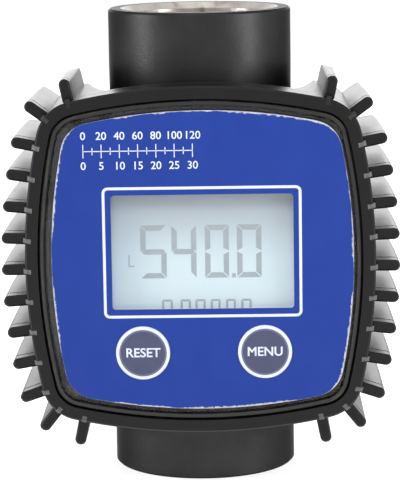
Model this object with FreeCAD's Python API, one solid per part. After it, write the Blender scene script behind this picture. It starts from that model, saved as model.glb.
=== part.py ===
"""Turbine flow meter with a ribbed display head, in millimetres.

Frame: origin at the centre of the inlet port's end face, +Z along the flow to the
outlet port, the display looks along -Y, +X is to the right of someone reading it.
"""

import FreeCAD
import Part

import math
import os

from FreeCAD import Vector

# ---- flow body: an aluminium tube with a one inch female port at each end
body_height = 106.5          # end face to end face
port_radius = 21.0           # outside of the tube
port_edge_chamfer = 0.5      # broken outer edge of each end face
thread_major_radius = 16.62  # one inch parallel pipe thread, root radius
thread_depth = 18.0
mouth_chamfer = 1.4          # lead-in at the mouth of each port
inlet_bore_radius = 12.5     # throat below the cartridge
chamber_radius = 14.0        # bore that holds the turbine cartridge
pad_distance = 22.0          # flow axis to the flat pad in front
pad_half_width = 12.5
pad_half_height = 20.0
pad_corner = 3.0

# ---- turbine cartridge
chamber_length = 18.0        # the rotor's room, between the straighteners
straightener_length = 14.0
cartridge_clearance = 0.15   # cartridge in the chamber bore, on the radius
cartridge_wall = 1.65        # outer ring of a straightener
liner_wall = 1.05
straightener_hub_radius = 5.0
nose_length = 9.0
nose_tip_share = 0.35        # flat tip of the nose, as a share of the hub's radius
nose_fullness = 1.08         # dome of the nose against a plain ellipse
vane_start_share = 0.35      # where the vanes begin along a straightener
vane_thickness = 1.2
vane_count = 4
rotor_blade_count = 5
rotor_twist = 80.0           # degrees that a blade turns along the rotor
rotor_hub_radius = 4.5
blade_thickness = 1.1
blade_length = 12.6          # along the flow
tip_clearance = 0.4
shaft_radius = 1.0
shaft_running_clearance = 0.03
bearing_radius = 2.5
shoulder_radius = 2.9        # thrust washers and the rotor's ends
bearing_length = 3.0
bearing_fit = 0.02           # bush in its seat, on the radius
relief_clearance = 0.4       # room round the shaft's end
relief_depth = 0.6
washer_thickness = 0.5
rotor_end_play = 0.2
magnet_radius = 1.2
magnet_length = 2.0
magnet_clearance = 0.05
magnet_depth = 0.2           # magnets below the hub's surface
ring_thickness = 1.2         # retaining ring in its groove
ring_width = 2.1
ring_play = 0.05             # ring in its groove, along the flow
ring_opening = 6.0           # between the open ring's ends
ear_place = 4.2
ear_radius = 1.7
ear_hole = 0.8
ear_rise = 0.6               # ears' middle inside the ring's inner edge
groove_depth = 0.8
seal_section = 0.6           # radius of the O-rings' round section
seal_squeeze = 0.05          # room beside an O-ring in its seat

# ---- display head: its outline is four wide arcs joined by corner arcs
head_height = 52.8           # inlet face to the middle of the head
side_radius = 130.0
corner_radius = 9.2
housing_depth = 34.1
housing_wall = 2.5
tunnel_clearance = 0.15      # housing round the tube, on the radius
tunnel_wall = 2.0
land_cut = 4.9               # how far the flat beside a port lies inside the side
land_lip = 2.6               # front lip that stays full height
land_sweep = 6.0             # hollow curve from the land up to the first rib
rear_round = 3.5
screw_inset = 11.3           # corner screws, from the sides of the head
screw_radius = 1.5
screw_clearance = 0.2
tapped_clearance = 0.1       # screw in the hole that it is cut into, on the radius
hole_rest = 0.6              # hole beyond a screw's end
screw_head_radius = 2.6
screw_head_height = 2.0
screw_head_edge = 0.5
recess_share = 0.6           # cross slot's reach as a share of the head's radius
recess_arm = 0.45
recess_depth = 1.1
screw_grip = 21.5            # length under the head
post_wall = 1.3
post_gap = 0.3               # between a post and the end of a cell's tray

# ---- ribs round the head; the ribs of the front frame meet those of the housing
rib_thickness = 2.5
rib_length = 5.55
rib_drop = 0.75              # the ribs reach this much further down than up
side_rib_count = 9
side_rib_margin = 7.74       # side's end to where the row of side ribs starts
side_rib_drop = 2.0          # the side ribs' middle, below the head's middle
top_rib_inset = 9.7          # first rib on the top side, from the side of the head
bottom_rib_inset = 12.2
top_corner_angle = 36.0      # degrees up from the side
bottom_corner_angle = 51.5   # degrees down from the side
rib_edge = 0.4
rib_root_share = 0.7         # how far a rib's root goes into the wall that carries it
rib_draw_in = 0.9            # a rear rib's outer edge slopes in towards the back
rib_tail_corner = 3.0
arc_bulge = 0.3              # how far the edge's arcs stand off their chords
rib_tail = 1.2               # how far a rib's tail stays in front of the back
ramp_width = 1.1             # small ramp from the frame's edge to the foot of each rib
ramp_inside = 1.3
ramp_outside = 0.5
ramp_drop = 1.8

# ---- front frame
band_width = 2.8
band_edge = 0.4
frame_skirt = 3.8            # behind the ledge that carries the display case
ledge_width = 1.4
nose_back = 0.3              # parting gap that the front ribs leave
gasket_thickness = 0.3
gasket_inset = 0.6           # frame gasket inside the head's outline
gasket_clearance = 0.3       # and outside the case
case_gasket_inset = 0.1

# ---- display module, from the pad towards the front
floor_wall = 2.0
plate_thickness = 0.8
board_gap = 1.2
board_thickness = 1.6
strip_height = 1.5
glass_sheet = 0.9
glass_gap = 0.4
lens_thickness = 1.6
label_thickness = 0.3
rim_rise = 0.1               # case rim over the label
frame_rise = 0.5             # frame over the case rim
case_gap = 0.3
rim_width = 1.0
rim_edge = 0.25
lens_edge = 0.35
shelf_thickness = 0.8
case_wall = 1.8
case_spigot = 1.1            # case wall that reaches into the housing
case_clearance = 0.3
pillar_radius = 2.9
pillar_floor = 1.2           # left under the lens by the screw's hole
stop_depth = 1.0             # ribs inside the case that the board lies against
stop_width = 1.6
stop_place = 18.0
label_margin = 1.15          # clear edge of the lens round the label
label_corner = 7.0
label_shift = 0.5            # the label sits a little to the right
window_width = 40.2
window_height = 25.6
window_rise = 2.0            # window's middle above the head's middle
window_corner = 0.8
glass_margin = 1.4
glass_corner = 0.3
contact_ledge = 0.8          # back sheet of the glass shows this much above and below
holder_wall = 0.8
view_margin = 0.5            # holder's opening round the window
fit_gap = 0.15
strip_inset = 2.0            # contact strips, from the glass's sides
strip_width = 1.8
strip_edge = 0.1             # and from its upper and lower edges

# ---- keys
key_spacing = 27.08
key_gap = 0.75               # between a key's flange and the display's holder
key_radius = 6.0
key_clearance = 0.12
key_rise = 0.15              # key face over the label
key_edge = 0.12
key_flange = 0.7
key_flange_thickness = 0.8
key_travel = 0.4
plunger_radius = 1.7
plunger_length = 1.9
plunger_clearance = 0.1
switch_size = 6.0
switch_height = 2.2

# ---- sensor, cells and small hardware
pocket_radius = 3.0
pocket_floor = 2.1           # metal left between pocket and chamber
lead_spread = 0.8            # sensor's leads, from its axis
lead_radius = 0.3
sensor_clearance = 0.15
sensor_tip_gap = 0.2
sensor_edge = 0.8
tube_screw_x = 9.0
tube_screw_z = 15.0
tube_screw_length = 6.3
cell_radius = 5.25
cell_length = 44.5
cell_edge = 0.4
cell_nub_radius = 1.9
cell_nub = 1.0
cell_inset = 13.4            # cells' axes, from the sides of the head
cell_y = 18.5                # cells' axes in front of the flow axis
tray_clearance = 0.2
tray_wall = 0.9
contact_room = 0.95
contact_thickness = 0.3
contact_share = 0.7          # half width of a contact as a share of the cell's radius
leaf_width = 3.0
leaf_foot = 0.8
leaf_rest = 0.05             # between a bowed leaf and its cell
leaf_taper = 0.8             # leaf's thickness at the bow against the plate's
post_inset = 4.0             # board posts, from the edges of the holder's plate
post_radius = 1.5
chip_clearance = 0.2         # chips to the holder's plate
chip_size = 10.0             # processor, and how far it stands beside the leads
chip_offset = 11.0
crystal_length = 8.0
crystal_width = 3.2
capacitor_length = 3.0
capacitor_width = 2.0
chip_row = 6.0               # crystal above the leads, capacitors below

# ---- places worked out from the sizes above: the head is built round its two cells
tray_end = cell_length / 2 + contact_room + tray_wall
screw_place = tray_end + post_gap + screw_radius + screw_clearance + post_wall
head_half = screw_place + screw_inset
land_half = head_half - land_cut
top_rib_place = head_half - top_rib_inset
bottom_rib_place = head_half - bottom_rib_inset
side_rib_pitch = 2 * (head_half - side_rib_margin) / side_rib_count
cell_x = head_half - cell_inset
key_drop = (window_height / 2 - window_rise + glass_margin + fit_gap + holder_wall
            + key_gap + key_flange + key_radius)
y_pad = -pad_distance
y_floor = y_pad - floor_wall
y_plate = y_floor - plate_thickness
y_board_back = y_plate - board_gap
y_board_front = y_board_back - board_thickness
y_glass_back = y_board_front - strip_height
y_glass_front = y_glass_back - 2 * glass_sheet
y_lens_back = y_glass_front - glass_gap
y_lens_front = y_lens_back - lens_thickness
y_label = y_lens_front - label_thickness
y_rim = y_label - rim_rise
y_front = y_rim - frame_rise
y_flange = y_lens_back + shelf_thickness
y_ledge = y_flange + gasket_thickness
y_frame_back = y_ledge + frame_skirt
y_housing = y_frame_back + gasket_thickness
y_case_back = y_housing + case_spigot
y_back = y_housing + housing_depth
z_chamber = head_height - chamber_length / 2
z_inlet = z_chamber - straightener_length
z_chamber_top = z_chamber + chamber_length
z_outlet = z_chamber_top + straightener_length
case_half = head_half - band_width - case_gap
case_body_half = case_half - ledge_width
ledge_half = case_body_half + case_clearance
case_inner_half = case_body_half - case_wall
lens_half = case_half - rim_width - case_clearance / 3
label_half = lens_half - label_margin
label_x = label_shift
board_half = case_inner_half - case_clearance
cartridge_radius = chamber_radius - cartridge_clearance
tunnel_radius = port_radius + tunnel_clearance
saddle_radius = tunnel_radius + tunnel_wall


# ---------------------------------------------------------------- outline helpers
def corner_centre(half, side_r, corner_r):
    """Where the corner arcs' centres lie, the same both ways."""
    reach = side_r - half
    return (math.sqrt(2 * (side_r - corner_r) ** 2 - reach ** 2) - reach) / 2


def turned(point, quarter):
    """A point of the first side's outline, moved round to another side."""
    x, z = point
    for _ in range(quarter):
        x, z = -z, x
    return x, z


def outline_wire(half, y, side_r, corner_r, x_shift=0.0):
    """Closed head outline: a wide arc for each side and a small arc for each corner."""
    c = corner_centre(half, side_r, corner_r)
    start = math.atan2(c, c + side_r - half)
    middle = half - side_r
    edges = []
    for quarter in range(4):
        side = []
        corner = []
        for step in (-1, 0, 1):
            a = step * start
            side.append((middle + side_r * math.cos(a), side_r * math.sin(a)))
            b = math.pi / 4 + step * (math.pi / 4 - start)
            corner.append((c + corner_r * math.cos(b), c + corner_r * math.sin(b)))
        for arc in (side, corner):
            places = [turned(p, quarter) for p in arc]
            points = [Vector(x + x_shift, y, head_height + z) for x, z in places]
            edges.append(Part.Arc(*points).toShape())
    return Part.Wire(edges)


def head_outline(half, y):
    """The head's outline moved evenly in or out, so that it is `half` at its sides."""
    inset = head_half - half
    return outline_wire(half, y, side_radius - inset, corner_radius - inset)


def prism(wire, y_end):
    """Solid from a flat outline, drawn back along Y to y_end."""
    y_start = wire.Vertexes[0].Y
    return Part.Face(wire).extrude(Vector(0, y_end - y_start, 0))


def head_prism(half, y_start, y_end):
    return prism(head_outline(half, y_start), y_end)


def head_ring(outer_half, inner_half, y_start, y_end):
    outer = head_prism(outer_half, y_start, y_end)
    return outer.cut(head_prism(inner_half, y_start, y_end))


def box(x, y, z):
    """Block between two places on each axis."""
    low = Vector(min(x), min(y), min(z))
    return Part.makeBox(max(x) - low.x, max(y) - low.y, max(z) - low.z, low)


def rounded_plate(x_mid, z_mid, width, height, radius, y_start, y_end):
    """Rectangular plate with round corners, facing -Y."""
    plate = box((x_mid - width / 2, x_mid + width / 2), (y_start, y_end),
                (z_mid - height / 2, z_mid + height / 2))
    upright = [e for e in plate.Edges if abs(e.tangentAt(e.FirstParameter).y) > 0.9]
    return plate.makeFillet(radius, upright)


def rod_y(x, z, radius, y_start, y_end):
    """Round bar along Y."""
    low = min(y_start, y_end)
    return Part.makeCylinder(radius, abs(y_end - y_start), Vector(x, low, z), Vector(0, 1, 0))


def tube_z(outer, inner, z_start, z_end):
    ring = Part.makeCylinder(outer, z_end - z_start, Vector(0, 0, z_start))
    return ring.cut(Part.makeCylinder(inner, z_end - z_start, Vector(0, 0, z_start)))


def revolved(profile):
    """Solid of revolution about the flow axis from (radius, z) points."""
    points = [Vector(r, 0, z) for r, z in profile]
    face = Part.Face(Part.makePolygon(points + points[:1]))
    return face.revolve(Vector(0, 0, 0), Vector(0, 0, 1), 360)


def corners(distance):
    """The four corner places of the head, x from the axis and z from the inlet."""
    return [(sx * distance, head_height + sz * distance) for sx in (-1, 1) for sz in (-1, 1)]


def save(name, shape):
    """One file per node. Separate solids of one node go in together."""
    solids = shape.Solids
    result = solids[0] if len(solids) == 1 else Part.makeCompound(solids)
    result.exportStep("parts/" + name + ".step")


# ---------------------------------------------------------------- flow body
def port_cutter(z_face, inward):
    """Threaded bore with its lead-in, cut from an end face inwards."""
    flare = thread_major_radius + mouth_chamfer
    over = 1.0
    profile = [
        (0, z_face - inward * over),
        (flare + over, z_face - inward * over),
        (thread_major_radius, z_face + inward * mouth_chamfer),
        (thread_major_radius, z_face + inward * thread_depth),
        (0, z_face + inward * thread_depth),
    ]
    return revolved(profile)


def make_flow_body():
    edge = port_edge_chamfer
    body = revolved([
        (0, 0),
        (port_radius - edge, 0),
        (port_radius, edge),
        (port_radius, body_height - edge),
        (port_radius - edge, body_height),
        (0, body_height),
    ])
    pad = box((-pad_half_width, pad_half_width), (y_pad, 0),
              (head_height - pad_half_height, head_height + pad_half_height))
    upright = [e for e in pad.Edges
               if abs(e.tangentAt(e.FirstParameter).y) > 0.9]
    body = body.fuse(pad.makeFillet(pad_corner, upright))
    body = body.cut(Part.makeCylinder(inlet_bore_radius, body_height))
    chamber = Part.makeCylinder(chamber_radius, body_height - z_inlet, Vector(0, 0, z_inlet))
    body = body.cut(chamber)
    body = body.cut(port_cutter(0, 1))
    body = body.cut(port_cutter(body_height, -1))
    groove = Part.makeCylinder(chamber_radius + groove_depth, ring_thickness + 2 * ring_play,
                               Vector(0, 0, z_outlet))
    body = body.cut(groove)
    y_pocket = -(chamber_radius + pocket_floor)
    body = body.cut(rod_y(0, head_height, pocket_radius, y_pad, y_pocket))
    body = body.cut(rod_y(0, head_height, seal_seat_radius(), y_pad, y_pad + seal_seat_depth()))
    for x, z in tube_screw_places():
        depth = y_pad + tube_screw_length - floor_wall + hole_rest
        body = body.cut(rod_y(x, z, screw_radius + tapped_clearance, y_pad, depth))
    return body.removeSplitter()


def tube_screw_places():
    return [(sx * tube_screw_x, head_height + sz * tube_screw_z)
            for sx in (-1, 1) for sz in (-1, 1)]


def seal_seat_radius():
    return pocket_radius + 2 * (seal_section + seal_squeeze)


def seal_seat_depth():
    return 2 * seal_section + seal_squeeze


# ---------------------------------------------------------------- turbine cartridge
def hub_profile(length, nose):
    """Half section of a hub with a domed nose, from the nose's point upwards."""
    r = straightener_hub_radius
    flat = Part.LineSegment(Vector(0, 0, length), Vector(r, 0, length)).toShape()
    side = Part.LineSegment(Vector(r, 0, length), Vector(r, 0, nose)).toShape()
    half_way = math.sqrt(0.5)
    tip_r = nose_tip_share * r
    dome = Part.Arc(Vector(r, 0, nose),
                    Vector(r * half_way * nose_fullness, 0, nose * (1 - half_way)),
                    Vector(tip_r, 0, 0)).toShape()
    tip = Part.LineSegment(Vector(tip_r, 0, 0), Vector(0, 0, 0)).toShape()
    axis = Part.LineSegment(Vector(0, 0, 0), Vector(0, 0, length)).toShape()
    return Part.Face(Part.Wire([flat, side, dome, tip, axis]))


def make_straightener(is_inlet):
    """Outer ring, flat vanes and a hub with a domed nose; the inner end holds a bearing."""
    length = straightener_length
    hub = hub_profile(length, nose_length).revolve(Vector(0, 0, 0), Vector(0, 0, 1), 360)
    ring = tube_z(cartridge_radius, cartridge_radius - cartridge_wall, 0, length)
    body = ring.fuse(hub)
    reach = cartridge_radius - cartridge_wall / 2
    vane_start = vane_start_share * length
    for i in range(vane_count):
        vane = box((0, reach), (-vane_thickness / 2, vane_thickness / 2), (vane_start, length))
        vane.rotate(Vector(0, 0, 0), Vector(0, 0, 1), 45 + i * 360 / vane_count)
        body = body.fuse(vane)
    seat_start = length - bearing_length
    seat = Part.makeCylinder(bearing_radius + bearing_fit, bearing_length,
                             Vector(0, 0, seat_start))
    body = body.cut(seat)
    relief = Part.makeCylinder(shaft_radius + relief_clearance, relief_depth,
                               Vector(0, 0, seat_start - relief_depth))
    body = body.cut(relief)
    if is_inlet:
        seat = 2 * (seal_section + seal_squeeze)
        groove = tube_z(chamber_radius, chamber_radius - seat, 0, seat)
        body = body.cut(groove)
        body.translate(Vector(0, 0, z_inlet))
    else:
        body.rotate(Vector(0, 0, length / 2), Vector(1, 0, 0), 180)
        body.translate(Vector(0, 0, z_chamber_top))
    return body.removeSplitter()


def make_liner():
    return tube_z(cartridge_radius, cartridge_radius - liner_wall, z_chamber, z_chamber_top)


def make_chamber_seal():
    return Part.makeTorus(chamber_radius - seal_section - seal_squeeze, seal_section,
                          Vector(0, 0, z_inlet + seal_section))


def make_retaining_ring():
    """Snap ring with an open end and two holed ears."""
    outer = chamber_radius + groove_depth - 2 * ring_play
    inner = outer - ring_width
    z = z_outlet + ring_play
    half = ring_opening / 2
    ring = tube_z(outer, inner, z, z + ring_thickness)
    ring = ring.cut(box((-half, half), (0, 2 * outer), (z, z + ring_thickness)))
    for side in (-1, 1):
        middle = Vector(side * ear_place, inner - ear_rise, z)
        ring = ring.fuse(Part.makeCylinder(ear_radius, ring_thickness, middle))
        ring = ring.cut(Part.makeCylinder(ear_hole, ring_thickness, middle))
    return ring.removeSplitter()


def make_bearing(is_inlet):
    z = z_chamber - bearing_length if is_inlet else z_chamber_top
    return tube_z(bearing_radius, shaft_radius + shaft_running_clearance, z, z + bearing_length)


def make_thrust_washer(is_inlet):
    z = z_chamber if is_inlet else z_chamber_top - washer_thickness
    bore = shaft_radius + shaft_running_clearance
    return tube_z(shoulder_radius, bore, z, z + washer_thickness)


def blade_section(z, angle, inner, outer):
    """Section of a blade across the flow, turned by the helix."""
    half = blade_thickness / 2
    wire = Part.makePolygon([
        Vector(inner, -half, z), Vector(outer, -half, z),
        Vector(outer, half, z), Vector(inner, half, z), Vector(inner, -half, z)])
    wire.rotate(Vector(0, 0, z), Vector(0, 0, 1), angle)
    return wire


def make_rotor():
    """Hub with helical blades, each lofted through sections that turn along the flow."""
    tip = cartridge_radius - liner_wall - tip_clearance
    tip_corner = math.sqrt(tip ** 2 - (blade_thickness / 2) ** 2)
    z_low = z_chamber + washer_thickness + rotor_end_play
    z_high = z_chamber_top - washer_thickness - rotor_end_play
    z_blade = head_height - blade_length / 2
    hub = revolved([
        (shaft_radius, z_low),
        (shoulder_radius, z_low),
        (rotor_hub_radius, z_blade),
        (rotor_hub_radius, z_blade + blade_length),
        (shoulder_radius, z_high),
        (shaft_radius, z_high),
    ])
    section_count = 5
    rotor = hub
    for blade in range(rotor_blade_count):
        start = blade * 360 / rotor_blade_count
        wires = []
        for i in range(section_count):
            share = i / (section_count - 1)
            wires.append(blade_section(z_blade + share * blade_length,
                                       start + share * rotor_twist,
                                       shoulder_radius, tip_corner))
        rotor = rotor.fuse(Part.makeLoft(wires, True, False))
    for pocket in magnet_bars(magnet_clearance, 2 * magnet_length):
        rotor = rotor.cut(pocket)
    return rotor.removeSplitter()


def magnet_bars(clearance, length):
    """Round bars that point out of the hub between the blades, for magnets and pockets."""
    bars = []
    step = 360 / rotor_blade_count
    first = rotor_twist / 2 + step / 2
    start = rotor_hub_radius - magnet_length
    for i in range(rotor_blade_count):
        bar = Part.makeCylinder(magnet_radius + clearance, length,
                                Vector(start, 0, head_height), Vector(1, 0, 0))
        bar.rotate(Vector(0, 0, 0), Vector(0, 0, 1), first + i * step)
        bars.append(bar)
    return bars


def make_shaft():
    end = bearing_length - rotor_end_play
    return Part.makeCylinder(shaft_radius, chamber_length + 2 * end,
                             Vector(0, 0, z_chamber - end))


# ---------------------------------------------------------------- ribs of the head
def rib_angles():
    """Directions of the ribs on the right, in degrees up from the side."""
    c = corner_centre(head_half, side_radius, corner_radius)
    side_end = side_radius * math.sin(math.atan2(c, c + side_radius - head_half))
    angles = [math.degrees(math.asin(bottom_rib_place / side_radius)) - 90]
    angles.append(-bottom_corner_angle)
    for i in range(side_rib_count):
        offset = (i - (side_rib_count - 1) / 2) * side_rib_pitch - side_rib_drop
        if abs(offset) <= side_end:
            angle = math.asin(offset / side_radius)
        else:
            past = (abs(offset) - c) / corner_radius
            angle = math.copysign(math.asin(min(past, 0.9)), offset)
        angles.append(math.degrees(angle))
    angles.append(top_corner_angle)
    angles.append(90 - math.degrees(math.asin(top_rib_place / side_radius)))
    return angles


def outline_point(angle):
    """Point of the head's outline where it faces `angle` degrees up from the side."""
    c = corner_centre(head_half, side_radius, corner_radius)
    turn = math.degrees(math.atan2(c, c + side_radius - head_half))
    up = 1 if angle >= 0 else -1
    a = abs(angle)
    cos = math.cos(math.radians(a))
    sin = math.sin(math.radians(a))
    if a <= turn:
        x, z = head_half - side_radius + side_radius * cos, side_radius * sin
    elif a <= 90 - turn:
        x, z = c + corner_radius * cos, c + corner_radius * sin
    else:
        x, z = side_radius * cos, head_half - side_radius + side_radius * sin
    return x, up * z


def place_on_outline(shape, angle):
    """Stand a shape made along +X at the outline's point that faces `angle`."""
    placed = shape.copy()
    placed.rotate(Vector(0, 0, 0), Vector(0, 1, 0), -angle)
    x, z = outline_point(angle)
    placed.translate(Vector(x, 0, head_height + z))
    return placed


def both_sides(shape):
    return [shape, shape.mirror(Vector(0, 0, 0), Vector(1, 0, 0))]


def rib_reach(angle):
    return rib_length - rib_drop * math.sin(math.radians(angle))


def rib_slab(reach, root, y_start, y_end):
    """Flat rib along +X with a round tip, from `root` inside the wall."""
    half = rib_thickness / 2
    straight = reach - half
    edges = [
        Part.LineSegment(Vector(-root, y_start, -half), Vector(straight, y_start, -half)),
        Part.Arc(Vector(straight, y_start, -half), Vector(reach, y_start, 0),
                 Vector(straight, y_start, half)),
        Part.LineSegment(Vector(straight, y_start, half), Vector(-root, y_start, half)),
        Part.LineSegment(Vector(-root, y_start, half), Vector(-root, y_start, -half)),
    ]
    wire = Part.Wire([e.toShape() for e in edges])
    return prism(wire, y_end)


def rib_side_view(reach, root, y_start, y_end):
    """The rib seen from its flat side: its outer edge draws in towards the back."""
    half = rib_thickness
    low_reach = reach - rib_draw_in
    tail_reach = low_reach - rib_tail_corner
    y_turn = y_end - rib_tail_corner
    edges = [
        Part.LineSegment(Vector(-root, y_end, -half), Vector(-root, y_start, -half)),
        Part.LineSegment(Vector(-root, y_start, -half), Vector(reach, y_start, -half)),
        Part.Arc(Vector(reach, y_start, -half),
                 Vector(reach - rib_draw_in * arc_bulge, (y_start + y_turn) / 2, -half),
                 Vector(low_reach, y_turn, -half)),
        Part.Arc(Vector(low_reach, y_turn, -half),
                 Vector(low_reach - rib_tail_corner * arc_bulge,
                        y_end - rib_tail_corner * arc_bulge, -half),
                 Vector(tail_reach, y_end, -half)),
        Part.LineSegment(Vector(tail_reach, y_end, -half), Vector(-root, y_end, -half)),
    ]
    wire = Part.Wire([e.toShape() for e in edges])
    return Part.Face(wire).extrude(Vector(0, 0, 2 * half))


def make_rear_ribs():
    ribs = []
    root = housing_wall * rib_root_share
    y_tail = y_back - rib_tail
    for angle in rib_angles():
        reach = rib_reach(angle)
        slab = rib_slab(reach, root, y_housing, y_tail)
        slab = slab.common(rib_side_view(reach, root, y_housing, y_tail))
        ribs += both_sides(place_on_outline(slab, angle))
    return ribs


def make_front_ribs():
    """Short ribs of the frame with broken front edges, each with a block at its foot.

    The second list holds what is cut away above each block, which leaves a small ramp
    from inside the frame's edge down towards the rib's front.
    """
    ribs = []
    cuts = []
    root = band_width * rib_root_share
    y_nose = y_ledge
    half = ramp_width / 2
    slope = ramp_drop / (ramp_inside + ramp_outside)
    over = 0.5
    block = box((-ramp_inside, ramp_outside), (y_front + over, y_nose + over), (-half, half))
    above = Part.Face(Part.makePolygon([
        Vector(-ramp_inside - over, y_front - over * slope, -half),
        Vector(ramp_outside, y_front + ramp_drop, -half),
        Vector(ramp_outside + over, y_front + ramp_drop, -half),
        Vector(ramp_outside + over, y_front - 2 * over, -half),
        Vector(-ramp_inside - over, y_front - 2 * over, -half),
        Vector(-ramp_inside - over, y_front - over * slope, -half)]))
    above = above.extrude(Vector(0, 0, ramp_width))
    for angle in rib_angles():
        slab = rib_slab(rib_reach(angle), root, y_nose, y_frame_back - nose_back)
        front_edges = [e for e in slab.Edges
                       if all(abs(v.Y - y_nose) < 1e-6 for v in e.Vertexes)
                       and e.CenterOfMass.x > -root * 0.9]
        slab = slab.makeChamfer(rib_edge, front_edges)
        ribs += both_sides(place_on_outline(slab.fuse(block), angle))
        cuts += both_sides(place_on_outline(above, angle))
    return ribs, cuts


# ---------------------------------------------------------------- housing and frame
def make_land_cutter(side):
    """Takes the wall beside a port down to its flat land, with a hollow sweep to the ribs."""
    place = top_rib_place if side > 0 else bottom_rib_place
    edge = place - rib_thickness / 2
    low = land_half
    high = head_half + rib_length + 4
    r = land_sweep
    bend = r * (1 - math.sqrt(0.5))
    y = y_housing + land_lip

    def at(x, z):
        return Vector(x, y, head_height + side * z)

    edges = [
        Part.LineSegment(at(-edge + r, low), at(edge - r, low)),
        Part.Arc(at(edge - r, low), at(edge - bend, low + bend), at(edge, low + r)),
        Part.LineSegment(at(edge, low + r), at(edge, high)),
        Part.LineSegment(at(edge, high), at(-edge, high)),
        Part.LineSegment(at(-edge, high), at(-edge, low + r)),
        Part.Arc(at(-edge, low + r), at(-edge + bend, low + bend), at(-edge + r, low)),
    ]
    return prism(Part.Wire([e.toShape() for e in edges]), y_back + 5)


def make_tunnel():
    """Room for the tube: round in front, straight sides behind, and the pad's recess."""
    round_part = Part.makeCylinder(tunnel_radius, body_height)
    straight = box((-tunnel_radius, tunnel_radius), (0, y_back + 5), (0, body_height))
    wide = pad_half_width + tunnel_clearance
    high = pad_half_height + tunnel_clearance
    pad = box((-wide, wide), (y_pad, 0), (head_height - high, head_height + high))
    return round_part.fuse(straight).fuse(pad)


def make_wells():
    """Hollows each side of the tube, open to the front, clear of the corner posts."""
    y_end = y_back - housing_wall
    inner = head_prism(head_half - housing_wall, y_floor, y_end)
    keep = [Part.makeCylinder(saddle_radius, body_height)]
    keep.append(box((-saddle_radius, saddle_radius), (0, y_back), (0, body_height)))
    floor = pad_half_width + tunnel_wall
    keep.append(box((-floor, floor), (y_floor, 0), (0, body_height)))
    top = land_half - housing_wall
    wide = top_rib_place + rib_thickness / 2
    for side in (-1, 1):
        keep.append(box((-wide, wide), (y_floor, y_back),
                        (head_height + side * top, head_height + side * (head_half + 1))))
    y_step = head_seat() - housing_wall
    for x, z in corners(screw_place):
        slim = screw_radius + screw_clearance + post_wall
        keep.append(rod_y(x, z, slim, y_floor, y_back))
        wide_post = screw_head_radius + screw_clearance + post_wall
        keep.append(rod_y(x, z, wide_post, y_step, y_back))
        web = box((0, corner_radius), (y_floor, y_back), (-post_wall, post_wall))
        angle = math.degrees(math.atan2(z - head_height, x))
        web.rotate(Vector(0, 0, 0), Vector(0, 1, 0), -angle)
        web.translate(Vector(x, 0, z))
        keep.append(web)
    for shape in keep:
        inner = inner.cut(shape)
    return inner


def head_seat():
    """Where the corner screws' heads sit, so that their ends stay behind the lens."""
    return pillar_hole_end() + hole_rest + screw_grip


def make_housing():
    shell = head_prism(head_half, y_housing, y_back)
    rear = [e for e in shell.Edges if all(abs(v.Y - y_back) < 1e-6 for v in e.Vertexes)]
    shell = shell.makeFillet(rear_round, rear)
    for side in (-1, 1):
        shell = shell.cut(make_land_cutter(side))
    shell = shell.multiFuse(make_rear_ribs())
    tunnel = make_tunnel()
    shell = shell.cut(tunnel)
    shell = shell.cut(head_prism(ledge_half, y_housing, y_floor))
    shell = shell.cut(make_wells())
    for x, z in corners(screw_place):
        shell = shell.cut(rod_y(x, z, screw_radius + screw_clearance, y_housing, y_back))
        shell = shell.cut(rod_y(x, z, screw_head_radius + screw_clearance, head_seat(), y_back))
    shell = shell.cut(rod_y(0, head_height, pocket_radius, y_floor, y_pad))
    for x, z in tube_screw_places():
        shell = shell.cut(countersunk(x, z, screw_clearance, floor_wall))
    return shell.removeSplitter()


def countersunk(x, z, clearance, length):
    """Countersunk screw along +Y with its head flush with the housing's floor."""
    head = screw_head_radius + clearance
    shank = screw_radius + clearance
    cone = Part.makeCone(head, shank, head - shank, Vector(x, y_floor, z), Vector(0, 1, 0))
    return cone.fuse(rod_y(x, z, shank, y_floor, y_floor + length))


def make_front_frame():
    band = head_prism(head_half, y_front, y_frame_back)
    front = [e for e in band.Edges if all(abs(v.Y - y_front) < 1e-6 for v in e.Vertexes)]
    band = band.makeChamfer(band_edge, front)
    ribs, cuts = make_front_ribs()
    band = band.multiFuse(ribs)
    for cut in cuts:
        band = band.cut(cut)
    band = band.cut(head_prism(head_half - band_width, y_front, y_ledge))
    return band.cut(head_prism(ledge_half, y_ledge, y_frame_back))


# ---------------------------------------------------------------- display module
def make_display_case():
    """Rim that the lens lies in, walls that reach into the housing, and screw pillars."""
    case = head_prism(case_half, y_rim, y_flange)
    front = [e for e in case.Edges if all(abs(v.Y - y_rim) < 1e-6 for v in e.Vertexes)]
    case = case.makeChamfer(rim_edge, front)
    case = case.fuse(head_prism(case_body_half, y_flange, y_case_back))
    case = case.cut(head_prism(lens_half + case_clearance / 3, y_rim, y_lens_back))
    case = case.cut(head_prism(case_inner_half, y_lens_back, y_case_back))
    for x, z in corners(screw_place):
        case = case.fuse(rod_y(x, z, pillar_radius, y_lens_back, y_case_back))
    case = case.multiFuse(board_stops())
    for x, z in corners(screw_place):
        case = case.cut(rod_y(x, z, screw_radius + tapped_clearance,
                              y_case_back, pillar_hole_end()))
    return case.removeSplitter()


def board_stops():
    """Short ribs inside the case's walls that the board lies against, two on each side."""
    ring = head_ring(case_inner_half + case_wall / 4, case_inner_half - stop_depth,
                     y_lens_back, y_board_front)
    half = stop_width / 2
    stops = []
    for place in (-stop_place, stop_place):
        upright = box((-head_half, head_half), (y_lens_back, y_board_front),
                      (head_height + place - half, head_height + place + half))
        level = box((place - half, place + half), (y_lens_back, y_board_front),
                    (head_height - head_half, head_height + head_half))
        stops += ring.common(upright).Solids + ring.common(level).Solids
    return stops


def pillar_hole_end():
    return y_lens_back + pillar_floor


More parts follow.
